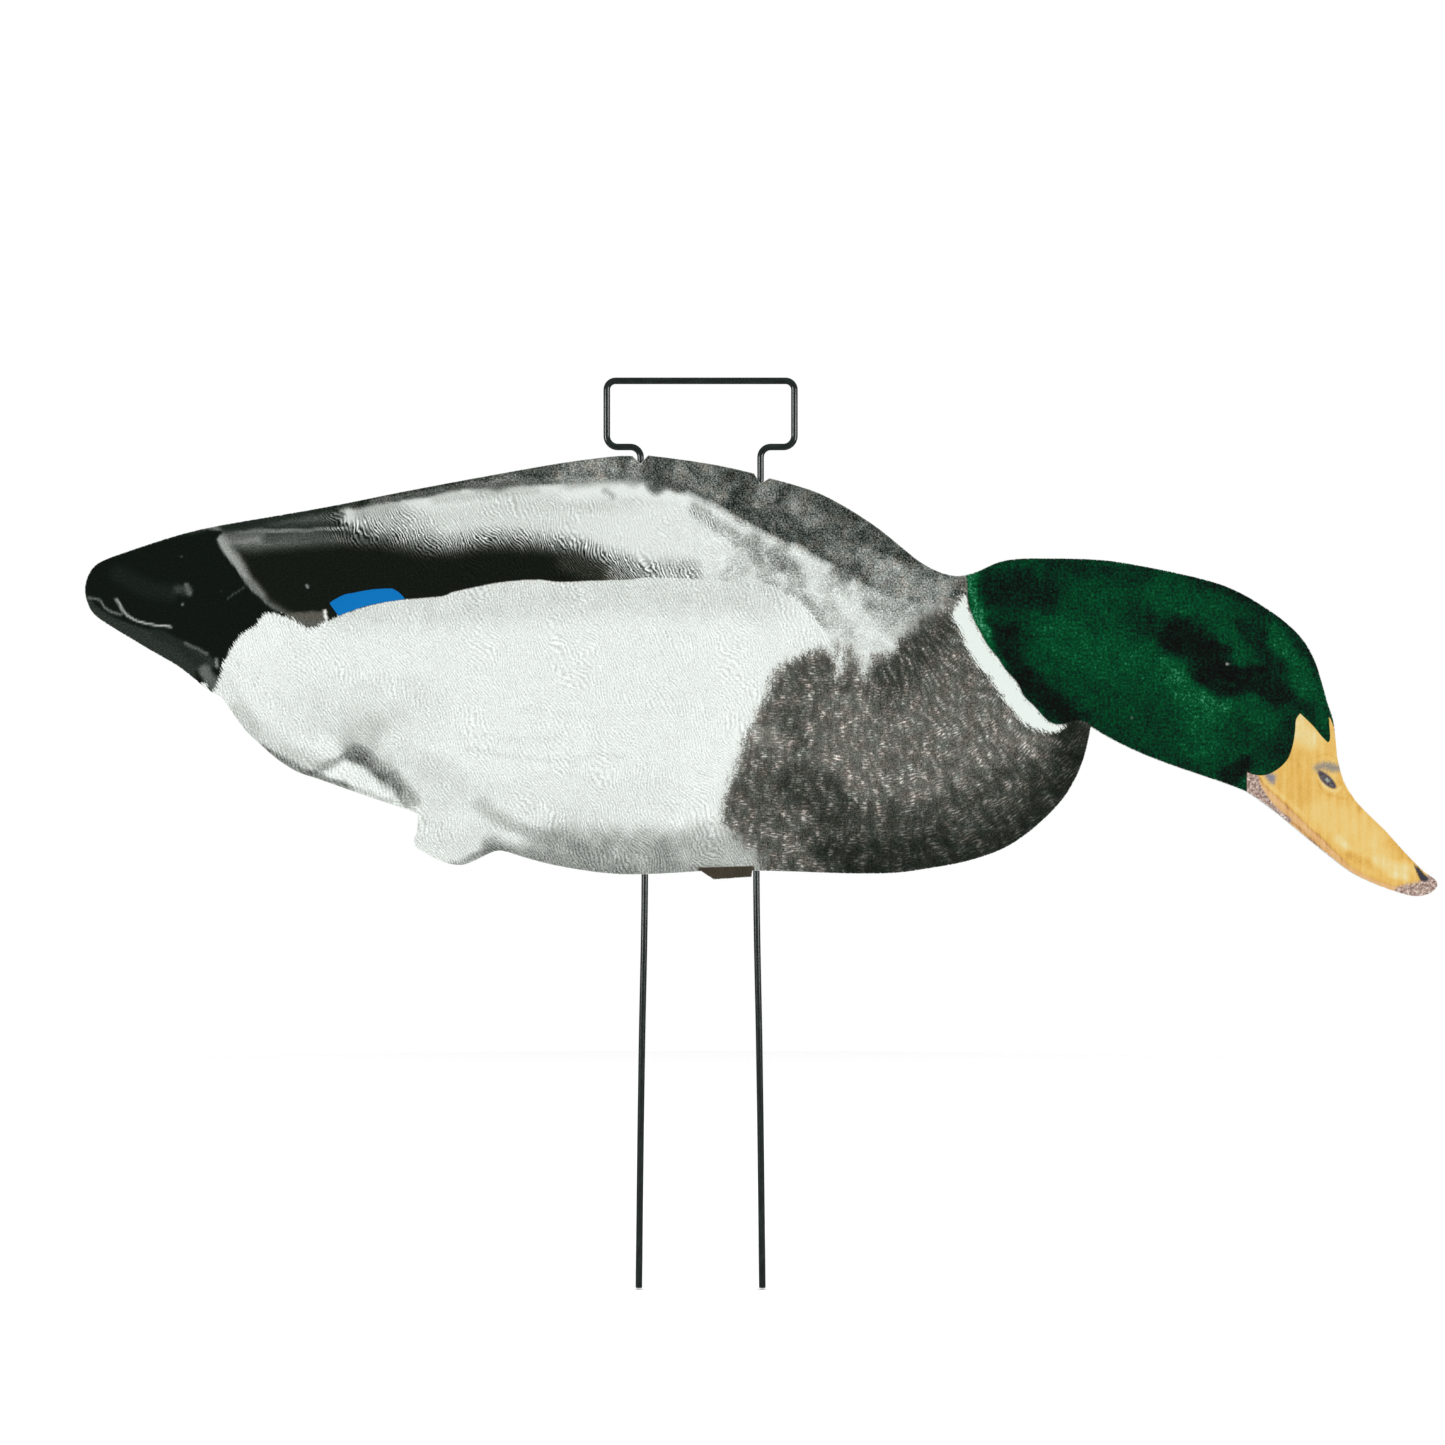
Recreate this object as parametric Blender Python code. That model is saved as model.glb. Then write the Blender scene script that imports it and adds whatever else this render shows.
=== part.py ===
"""Feeding drake mallard silhouette decoy: a die-cut twin-wall sheet, and the bent wire stake that slides in it.

The frame has its origin midway between the two tips of the stake, which slides up out of the sheet along Z. +X points the way the bird faces,
+Y is the thickness of the sheet and +Z is up, along the flutes and along the stake's legs.
Lengths are millimetres until they reach Blender, which gets metres.
"""

import math

import bmesh
import bpy
from mathutils import Vector

MM = 0.001

# The sheet: two skins joined by upright webs, extruded as one piece.
SHEET_THICKNESS = 4.0
SKIN_THICKNESS = 0.3
WEB_THICKNESS = 0.25
FLUTE_PITCH = 4.54

# The stake: one length of round wire, bent into a carrying handle with two legs.
WIRE_DIAMETER = 3.0
WIRE_BEVEL_RESOLUTION = 6  # 16 sides
HANDLE_HALF_WIDTH = 42.4
HANDLE_TOP = 409.9
SHOULDER_HEIGHT = 380.0
HANDLE_CORNER_RADIUS = 4.0
SHOULDER_OUTER_RADIUS = 5.0
SHOULDER_INNER_RADIUS = 4.6
# Height and distance from the middle of a leg's centreline: the sheet pinches the legs, and they spread below it.
LEG_BOW = ((0, 27.9), (62, 27.2), (110, 26.5), (187, 25.2), (280, 25.8), (366, 27.1))

# The flute that holds a leg is as wide as the leg's sweep while the sheet slides, and this much more.
LEG_CLEARANCE = 0.25

CURVE_TOLERANCE = 0.05
CUTTER_MARGIN = 5.0

# The outline, clockwise from the stake's left notch, as stretches of (x, z) that meet in corners.
# Each stretch is one smooth curve through its points.
LEFT_NOTCH = [(-30.7, 375.8), (-27.1, 372.4), (-23.6, 376.1)]
BACK_BETWEEN_NOTCHES = [(-23.6, 376.1), (-5, 373.7), (9, 371.4), (24, 368)]
RIGHT_NOTCH = [(24, 368), (27.1, 363.4), (31.2, 365.8)]
MANTLE_TO_BILL_TO_THROAT = [
    # mantle and nape
    (31.2, 365.8), (45, 362), (54, 358.8), (63, 354.2), (72, 348.8), (81, 342.6), (90, 335.3), (99, 328.1),
    (107.5, 323.6), (115, 321.7), (121, 322.4), (127.5, 324.8), (134.5, 327.9), (143, 329.4),
    # crown and forehead
    (155, 329.6), (172, 329.4), (185, 328.5), (198.5, 326.3), (216.5, 322.7), (233.5, 318.3), (244, 313.9),
    (254, 308), (263.8, 301), (272, 292.8), (277.2, 283.6), (280.5, 273.5), (283, 264.5), (285.6, 256.5),
    # top of the bill
    (286.7, 247.5), (287.7, 238.5), (290.4, 229), (295.6, 220.4), (302, 213.6), (309, 206.9), (317, 197.9),
    (322, 192.7), (327, 187.9), (331, 185.2),
    # tip and underside of the bill
    (332.7, 182.4), (330.7, 179.4), (326, 177.3), (320.5, 177.3), (311.5, 179.9), (302.5, 183.4), (293.5, 188),
    (284.5, 194.8), (273, 204), (262, 213.2), (251, 221.4), (245, 224.9),
    # chin and throat
    (232.5, 229.5), (216.5, 234.9), (201, 240.7), (187.5, 247), (176.2, 253.6),
]
BREAST_AND_FRONT_BELLY = [
    (176.2, 253.6), (174.8, 246.5), (173, 239.5), (169.6, 231), (164, 221.6), (155, 211.9), (144.5, 203.3),
    (134.5, 197.6), (119.5, 192.7), (103.5, 189.7), (88, 187.6), (67.5, 187.3), (45, 188.1), (27.5, 188.6),
    (23.4, 188.6),
]
FOOT_TAB = [(23.4, 188.6), (23, 185.8), (6, 184.6), (0.2, 188.4)]
REAR_BELLY_AND_THIGH = [
    (0.2, 188.4), (-11.5, 187.6), (-25, 187), (-36.5, 187), (-47.5, 188), (-61.5, 190.2), (-72.5, 192.6),
    (-81.5, 195.2), (-87, 197), (-91.5, 197.6), (-96, 196.1), (-102, 193.1), (-107.5, 191.2), (-113, 191.6),
    (-118.5, 193.5), (-124.5, 197),
]
HEEL = [(-124.5, 197), (-128.4, 199.4), (-129.4, 203), (-128.3, 205)]
HEEL_FRONT = [(-128.3, 205), (-127.6, 211.5), (-128, 214), (-130.5, 215.5)]
FLANK_TO_TAIL_TO_BACK = [
    # flank and undertail
    (-130.5, 215.5), (-138, 218), (-154, 223.4), (-172, 229.8), (-182, 233.2), (-190, 238.1), (-198, 244.9),
    (-205.5, 252.1), (-211.3, 259.9), (-216.4, 267), (-222, 269.9), (-228, 274.8), (-236, 281), (-249, 288.5),
    (-262.5, 296.6), (-271, 302),
    # rounded end of the tail
    (-274.7, 305.4), (-277.1, 310.4), (-277.9, 315.8), (-276.7, 321.4), (-273.7, 326), (-269.5, 328.7),
    # rump and back
    (-262.5, 331.4), (-249, 336), (-233, 340.9), (-217, 344.5), (-190, 349.1), (-163, 353.9), (-136, 359.4),
    (-109, 364.5), (-81.5, 369.5), (-61.5, 372.9), (-45.5, 375), (-36.5, 375.9), (-30.7, 375.8),
]
OUTLINE = [
    LEFT_NOTCH[:2], LEFT_NOTCH[1:], BACK_BETWEEN_NOTCHES, RIGHT_NOTCH[:2], RIGHT_NOTCH[1:],
    MANTLE_TO_BILL_TO_THROAT, BREAST_AND_FRONT_BELLY, FOOT_TAB[:2], FOOT_TAB[1:3], FOOT_TAB[2:],
    REAR_BELLY_AND_THIGH, HEEL, HEEL_FRONT, FLANK_TO_TAIL_TO_BACK,
]


def clear_scene():
    for obj in list(bpy.data.objects):
        bpy.data.objects.remove(obj)


def tangents(points):
    """The slope of a smooth curve at each of its points, per unit of chord: a Catmull-Rom spline's."""
    last = len(points) - 1
    slopes = []
    for i in range(len(points)):
        before, after = points[max(i - 1, 0)], points[min(i + 1, last)]
        slopes.append((after - before).normalized())
    if last > 1:  # the ends turn as the curve beside them does
        slopes[0] = (2 * (points[1] - points[0]).normalized() - slopes[1]).normalized()
        slopes[-1] = (2 * (points[-1] - points[-2]).normalized() - slopes[-2]).normalized()
    return slopes


def hermite(start, end, slope_start, slope_end, t):
    """The point at t, from 0 to 1, on the cubic between two points with these unit slopes."""
    chord = (end - start).length
    t2, t3 = t * t, t * t * t
    return (
        start * (2 * t3 - 3 * t2 + 1)
        + slope_start * chord * (t3 - 2 * t2 + t)
        + end * (3 * t2 - 2 * t3)
        + slope_end * chord * (t3 - t2)
    )


def smooth_curve(coordinates, tolerance=CURVE_TOLERANCE):
    """Points along a smooth curve, only as many as keep it within tolerance of the true curve."""
    points = [Vector(c) for c in coordinates]
    slopes = tangents(points)
    line = [points[0]]

    def flatten(span, t0, p0, t1, p1):
        middle = hermite(*span, (t0 + t1) / 2)
        if (middle - (p0 + p1) / 2).length > tolerance:
            flatten(span, t0, p0, (t0 + t1) / 2, middle)
            flatten(span, (t0 + t1) / 2, middle, t1, p1)
        else:
            line.append(p1)

    for i in range(len(points) - 1):
        span = (points[i], points[i + 1], slopes[i], slopes[i + 1])
        flatten(span, 0.0, points[i], 1.0, points[i + 1])
    return line


def sheet_outline():
    """The closed outline of the sheet as (x, z) points, with no point twice."""
    ring = []
    for stretch in OUTLINE:
        ring += smooth_curve(stretch)[:-1]
    return ring


def new_material(name, colour, roughness, metallic=0.0):
    material = bpy.data.materials.new(name)
    material.use_nodes = True
    shader = material.node_tree.nodes["Principled BSDF"]
    shader.inputs["Base Color"].default_value = (*colour, 1.0)
    shader.inputs["Roughness"].default_value = roughness
    shader.inputs["Metallic"].default_value = metallic
    return material


def add_object(name, data, material=None):
    obj = bpy.data.objects.new(name, data)
    bpy.context.scene.collection.objects.link(obj)
    if material:
        data.materials.append(material)
    return obj


def mesh_from(bm, name):
    bmesh.ops.recalc_face_normals(bm, faces=bm.faces)
    mesh = bpy.data.meshes.new(name)
    bm.to_mesh(mesh)
    bm.free()
    return mesh


def leg_sweep():
    """The nearest and furthest distances from the middle that a leg's surface reaches."""
    distances = [p.y for p in smooth_curve(LEG_BOW)]
    return min(distances) - WIRE_DIAMETER / 2, max(distances) + WIRE_DIAMETER / 2


def web_positions(x_low, x_high):
    """The x of each web: an even pitch, but the webs beside a leg are pushed aside to clear its sweep."""
    sweep_low, sweep_high = leg_sweep()
    cell_low = sweep_low - LEG_CLEARANCE - WEB_THICKNESS / 2
    cell_high = sweep_high + LEG_CLEARANCE + WEB_THICKNESS / 2
    first = math.floor(x_low / FLUTE_PITCH) - 1
    last = math.ceil(x_high / FLUTE_PITCH) + 1
    webs = []
    for k in range(first, last):
        x = (k + 0.5) * FLUTE_PITCH
        if cell_low < abs(x) < cell_high:
            nearest = cell_low if abs(x) - cell_low < cell_high - abs(x) else cell_high
            x = math.copysign(nearest, x)
        webs.append(x)
    return webs


def flute_cutter(outline):
    """One tall box for each flute, longer than the sheet at both ends."""
    bottom = min(p.y for p in outline) - CUTTER_MARGIN
    top = max(p.y for p in outline) + CUTTER_MARGIN
    depth = SHEET_THICKNESS - 2 * SKIN_THICKNESS
    webs = web_positions(min(p.x for p in outline), max(p.x for p in outline))
    bm = bmesh.new()
    for left, right in zip(webs, webs[1:]):
        width = right - left - WEB_THICKNESS
        box = bmesh.ops.create_cube(bm, size=1.0)["verts"]
        bmesh.ops.scale(bm, verts=box, vec=Vector((width, depth, top - bottom)) * MM)
        bmesh.ops.translate(bm, verts=box, vec=Vector(((left + right) / 2, 0, (top + bottom) / 2)) * MM)
    cutter = add_object("flute_cutter", mesh_from(bm, "flute_cutter"))
    cutter.hide_render = True
    cutter.display_type = "WIRE"
    return cutter


def fluted_panel(material):
    """The outline as a plate as thick as the sheet, with its flutes cut through from belly to back."""
    outline = sheet_outline()
    bm = bmesh.new()
    near = -SHEET_THICKNESS / 2
    face = bm.faces.new([bm.verts.new(Vector((p.x, near, p.y)) * MM) for p in outline])
    grown = bmesh.ops.extrude_face_region(bm, geom=[face])["geom"]
    far_side = [v for v in grown if isinstance(v, bmesh.types.BMVert)]
    bmesh.ops.translate(bm, verts=far_side, vec=(0, SHEET_THICKNESS * MM, 0))
    panel = add_object("fluted_panel", mesh_from(bm, "fluted_panel"), material)
    flutes = panel.modifiers.new("flutes", "BOOLEAN")
    flutes.operation = "DIFFERENCE"
    flutes.solver = "EXACT"
    flutes.object = flute_cutter(outline)
    return panel


def rounded_corner(before, corner, after, radius, steps=5):
    """The points of an arc that rounds a corner between two straight runs."""
    into, out = (corner - before).normalized(), (after - corner).normalized()
    half_turn = into.angle(out) / 2
    reach = radius * math.tan(half_turn)
    start, end = corner - into * reach, corner + out * reach
    centre = corner + (out - into).normalized() * (radius / math.cos(half_turn))
    arc = []
    for i in range(steps + 1):
        direction = (start - centre).slerp(end - centre, i / steps)
        arc.append(centre + radius * direction)
    return arc


def half_wire():
    """The wire's centreline from a tip to the middle of the handle, on the +X side, as (x, z) points."""
    leg = [Vector((p.y, p.x)) for p in smooth_curve(LEG_BOW)]
    under_shoulder = Vector((leg[-1].x, SHOULDER_HEIGHT))
    shoulder_end = Vector((HANDLE_HALF_WIDTH, SHOULDER_HEIGHT))
    handle_corner = Vector((HANDLE_HALF_WIDTH, HANDLE_TOP))
    middle = Vector((0, HANDLE_TOP))
    line = list(leg)
    line += rounded_corner(leg[-1], under_shoulder, shoulder_end, SHOULDER_INNER_RADIUS)
    line += rounded_corner(under_shoulder, shoulder_end, handle_corner, SHOULDER_OUTER_RADIUS)
    line += rounded_corner(shoulder_end, handle_corner, middle, HANDLE_CORNER_RADIUS)
    return line


def wire_stake(material):
    """The whole wire: half of it, and that half mirrored, with square-cut ends."""
    right = half_wire()
    left = [Vector((-p.x, p.y)) for p in right]
    route = left + right[::-1]
    curve = bpy.data.curves.new("wire_stake", "CURVE")
    curve.dimensions = "3D"
    curve.fill_mode = "FULL"
    curve.bevel_depth = WIRE_DIAMETER / 2 * MM
    curve.bevel_resolution = WIRE_BEVEL_RESOLUTION
    curve.use_fill_caps = True
    spline = curve.splines.new("POLY")
    spline.points.add(len(route) - 1)
    for point, place in zip(spline.points, route):
        point.co = (place.x * MM, 0, place.y * MM, 1)
    spline.use_smooth = True
    return add_object("wire_stake", curve, material)


def build():
    clear_scene()
    coated_wire = new_material("coated_wire", (0.02, 0.03, 0.026), roughness=0.3)
    printed_sheet = new_material("printed_sheet", (0.45, 0.46, 0.45), roughness=0.55)
    wire_stake(coated_wire)
    fluted_panel(printed_sheet)


build()
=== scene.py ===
import math
from functools import partial

import bpy
import numpy as np
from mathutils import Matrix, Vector
from mathutils.geometry import delaunay_2d_cdt


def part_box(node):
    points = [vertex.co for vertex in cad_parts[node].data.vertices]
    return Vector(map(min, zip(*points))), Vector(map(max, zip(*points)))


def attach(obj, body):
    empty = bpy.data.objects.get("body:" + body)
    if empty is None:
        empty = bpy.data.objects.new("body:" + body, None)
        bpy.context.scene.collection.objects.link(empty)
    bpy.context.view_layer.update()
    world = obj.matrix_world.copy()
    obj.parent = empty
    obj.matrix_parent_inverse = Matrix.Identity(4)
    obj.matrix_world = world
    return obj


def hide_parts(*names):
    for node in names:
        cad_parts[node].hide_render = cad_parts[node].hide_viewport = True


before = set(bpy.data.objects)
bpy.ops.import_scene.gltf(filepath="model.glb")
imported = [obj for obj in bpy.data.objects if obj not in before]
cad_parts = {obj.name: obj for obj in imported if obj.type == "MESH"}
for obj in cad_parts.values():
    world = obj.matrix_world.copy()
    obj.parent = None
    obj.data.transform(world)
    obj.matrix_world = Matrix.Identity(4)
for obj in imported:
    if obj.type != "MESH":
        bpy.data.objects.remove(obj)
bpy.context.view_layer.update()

mm = 0.001
sheetLow, sheetHigh = (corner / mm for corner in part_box("fluted_panel"))
wireLow, wireHigh = (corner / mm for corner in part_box("wire_stake"))


# ---- curves and distances on the sheet's plane


def smoothLine(points, closed=False, steps=5):
    # a Catmull-Rom curve: each span is a cubic whose end slopes are half the chord between its neighbours.
    # A point given twice makes a corner there.
    points = np.asarray(points, float)
    if closed:
        before, start, end, after = (np.roll(points, -k, 0) for k in range(4))
    else:
        padded = np.vstack([2 * points[0] - points[1], points, 2 * points[-1] - points[-2]])
        before, start, end, after = padded[:-3], padded[1:-2], padded[2:-1], padded[3:]
    t = (np.arange(steps) / steps)[None, :, None]
    before, start, end, after = (p[:, None, :] for p in (before, start, end, after))
    line = start + 0.5 * t * (
        (end - before)
        + t * ((2 * before - 5 * start + 4 * end - after) + t * (3 * (start - end) + after - before))
    )
    line = line.reshape(-1, 2)
    return line if closed else np.vstack([line, points[-1]])


def lineDistance(places, line, reach):
    # the least distance from each place to the straight pieces of a line, or reach where none is that near
    best = np.full(len(places), float(reach))
    x, z = places.T
    for a, b in zip(line[:-1], line[1:]):
        (lowX, lowZ), (highX, highZ) = np.minimum(a, b) - reach, np.maximum(a, b) + reach
        close = np.flatnonzero((x > lowX) & (x < highX) & (z > lowZ) & (z < highZ))
        along, offset = b - a, places[close] - a
        share = np.clip(offset @ along / max(along @ along, 1e-9), 0, 1)
        best[close] = np.minimum(best[close], np.hypot(*(offset - share[:, None] * along).T))
    return best


def insideDistance(places, outline, reach=14.0):
    # the distance to a closed outline, positive inside it: there a ray crosses it an odd number of times
    ring = np.vstack([outline, outline[:1]])
    inside = np.zeros(len(places), bool)
    x, z = places.T
    for (ax, az), (bx, bz) in zip(ring[:-1], ring[1:]):
        level = np.flatnonzero((az > z) != (bz > z))
        crossing = ax + (z[level] - az) * (bx - ax) / (bz - az if bz != az else 1e-9)
        inside[level] ^= x[level] < crossing
    return np.where(inside, 1, -1) * lineDistance(places, ring, reach)


def ease(share):
    # 0 below 0, 1 above 1, and a smooth S between them
    share = np.clip(share, 0, 1)
    return share * share * (3 - 2 * share)


# ---- the artwork: outlines of its patches, and the soft strokes that shade them

# borders that two outlines share
collarLine = [
    (123.5, 301.5), (126.5, 296), (129.5, 290.5), (134, 285), (138, 279), (143, 273.5), (146, 267.5),
    (151, 262.5), (155.5, 257.5), (159.5, 255),
]
scapularEdge = [(-6, 359), (7, 353), (15.5, 347.5), (26.5, 342), (37.5, 336.5), (48.5, 332), (59.5, 325.5)]

# Closed outlines of the inks. A point given twice is a corner.
patches = {
    "flank": [
        (-226.5, 265.5), (-220, 269), (-217, 276.5), (-215.5, 282), (-212.5, 288), (-208.5, 294),
        (-205, 297.5), (-201, 299), (-199, 303), (-195, 305), (-191.5, 304.5), (-186, 303), (-183, 301.5),
        (-179.5, 299), (-176.5, 298), (-172.5, 299.5), (-168, 301.5), (-163.5, 303.5), (-158.5, 305.5),
        (-150.5, 308), (-141.5, 310), (-134, 311), (-117, 312.5), (-111.5, 314.5), (-100, 317), (-89, 319),
        (-74, 320), (-64, 319), (-49.5, 319.5), (-32.5, 320), (-24, 321), (-6, 320.5), (15.5, 319), (31, 318),
        (37.5, 314), (43, 312), (48.5, 306.5), (54, 300), (58, 294.5), (61, 290), (67.5, 283), (81, 265.5),
        (81, 161.5), (-226.5, 161.5),
    ],
    "breast": [
        (61, 289.5), (59.5, 287), (56, 288), (51.5, 287.5), (46, 285.5), (39.5, 282.5), (34, 277.5),
        (31, 271), (28.5, 264.5), (26, 258.5), (23, 254), (20.5, 246), (16.5, 237), (14.5, 231.5),
        (12.5, 224.5), (10, 217), (11.5, 209.5), (16.5, 203.5), (21, 199.5), (27, 194), (30.5, 184.5),
        (36, 161.5), (203, 161.5), (203, 272), (165, 277), (145, 300), (130, 324), (120, 334), (117, 322),
        (116, 315.5), (113, 310), (108.5, 307), (101, 302), (95.5, 297.5), (90, 292), (88.5, 288), (83, 286),
        (78, 284.5), (75.5, 280), (74.5, 274.5), (72.5, 280), (70, 285), (67, 288.5), (65, 284),
        (63.5, 278.5), (61.5, 276.5),
    ],
    "ring": [
        (118.5, 312.5), (117, 310), (115, 307.5), (113.5, 303.5), (116, 299), (119, 292), (122, 286),
        (126.5, 279.5), (130.5, 275.5), (134, 270), (137.5, 265), (141, 261), (144, 256.5), (148.5, 253.5),
        (154, 251.5), (159.5, 251), (163, 252.5), (164.5, 254.5), (162.5, 254.5), *collarLine[::-1],
        (121, 307), (120, 312),
    ],
    "head": [
        (120, 329), (120, 322), (120.5, 316.5), (120.5, 311.5), (121.5, 307), *collarLine, (164.5, 255),
        (169, 256.5), (173.5, 255.5), (177, 253), (203, 220.5), (271, 198), (316, 265.5), (271, 338),
        (135.5, 342.5),
    ],
    "bill": [
        (246.6, 233.2), (246.6, 233.2), (249.6, 232), (253.6, 231.6), (257.4, 232.6), (261.8, 235.4),
        (265.4, 239.6), (267.4, 245.6), (268.4, 251.8), (268.8, 256.8), (270.6, 259.6), (270.6, 259.6),
        (273.2, 257.2), (276.8, 253.6), (280.4, 249.2), (283.4, 246.2), (283.4, 246.2), (284.2, 248.6),
        (283.8, 254.8), (283.4, 259.6), (283.4, 259.6), (284.4, 257), (285.8, 253.4), (286.6, 250.8),
        (291.2, 250.2), (338.8, 197.8), (343.2, 170.8), (316.2, 166.2), (266.4, 197.8), (246.6, 213.6),
        (246.6, 213.6),
    ],
    "speculum": [
        (-167.6, 309.4), (-167.6, 309.4), (-164.8, 311.2), (-160.8, 313.2), (-156.6, 314), (-150.6, 315.2),
        (-145, 315.8), (-139.4, 316), (-139.4, 316), (-136.4, 314.4), (-133.2, 311.2), (-133.2, 311.2),
        (-141.6, 310), (-150.6, 308.2), (-158.4, 305.6), (-163.4, 303.6), (-163.4, 303.6),
    ],
    "legTab": [(-1, 190), (-1, 190), (21, 190.6), (24, 190), (24, 180), (-1, 180), (-1, 180)],
    "chinSkin": [
        (245.6, 234), (251.4, 231.6), (252.4, 228.2), (255, 223.6), (258, 219.4), (262.2, 215.2),
        (266.8, 211), (257.4, 206.8), (243.8, 220.4),
    ],
    "billTip": [
        (313.8, 180.6), (318, 182.4), (322.8, 183.2), (325.6, 184.6), (329.4, 187), (338.8, 184.2),
        (329.6, 173), (314.4, 177),
    ],
    "nostril": [
        (278.6, 233.8), (280.4, 233.6), (283, 232), (285.6, 229.4), (287, 226.8), (286.4, 225.6),
        (284.2, 226), (281.6, 227.8), (279.4, 230.4),
    ],
    "nostrilSmear": [
        (276.8, 235.4), (280, 237.2), (284, 237.4), (288.6, 235.6), (288.4, 233.6), (284.4, 233.4),
        (280.6, 234.6), (278.4, 233.2),
    ],
    "cornerSmear": [(254.6, 232.6), (258.4, 232.4), (259.6, 230.6), (258.6, 227.8), (256.6, 228.8)],
    "nail": [
        (321.8, 192.2), (324, 190.2), (326.4, 187.4), (328.8, 184.6), (325.8, 183.8), (323.8, 186.4),
    ],
}

wingPanel = [
    (-216, 338), (-205, 337), (-190, 338), (-175, 339.5), (-160, 340.5), (-147, 339.5), (-139.5, 338.5),
    (-128, 336), (-117, 335.5), (-109, 336.5), (-100, 338), (-89, 338.5), (-76, 337.5), (-64, 336),
    (-53, 333.8), (-42, 329.8), (-31, 324.5), (-24, 317), (-45.5, 293), (-181, 293), (-192, 303), (-200, 309),
    (-207, 318), (-212, 329),
]
mantle = [
    (-160.5, 353.5), (-145, 355), (-122.5, 359), (-100, 362), (-83, 362.8), (-60.5, 363.6), (-38, 365),
    (-21.5, 363), (-10, 359.5), (-3, 358), *scapularEdge[1:], (67.5, 320), (90, 311), (117, 311), (124, 329),
    (90, 365), (-27.5, 401), (-158.5, 383),
]
tail = [
    (-220.5, 342.5), (-218.5, 338), (-215, 332), (-211, 327), (-207.5, 321), (-203, 315), (-198, 310.5),
    (-192.5, 306.5), (-186, 303), (-190, 293), (-215, 265.5), (-289.5, 293), (-289.5, 338),
]
underTail = [
    (-278.5, 313.5), (-273, 308.5), (-268.5, 305), (-257, 300), (-249, 297), (-240, 295.5), (-232.5, 291.5),
    (-223.5, 287), (-219, 282), (-221.5, 279), (-228, 279), (-231, 270), (-271.5, 288),
]
tertialRim = [(-221, 342), (-217, 337.5), (-213.5, 331.4), (-209, 325), (-205.3, 318.4), (-200.4, 312.5),
              (-196, 308.7), (-190, 305), (-185, 303)]
barredPart = [
    (-166, 357), (-140, 362), (-60, 366), (-20, 362), (8, 350), (14, 330), (2, 316), (-60, 316), (-120, 318),
    (-150, 326), (-172, 342),
]

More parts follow.
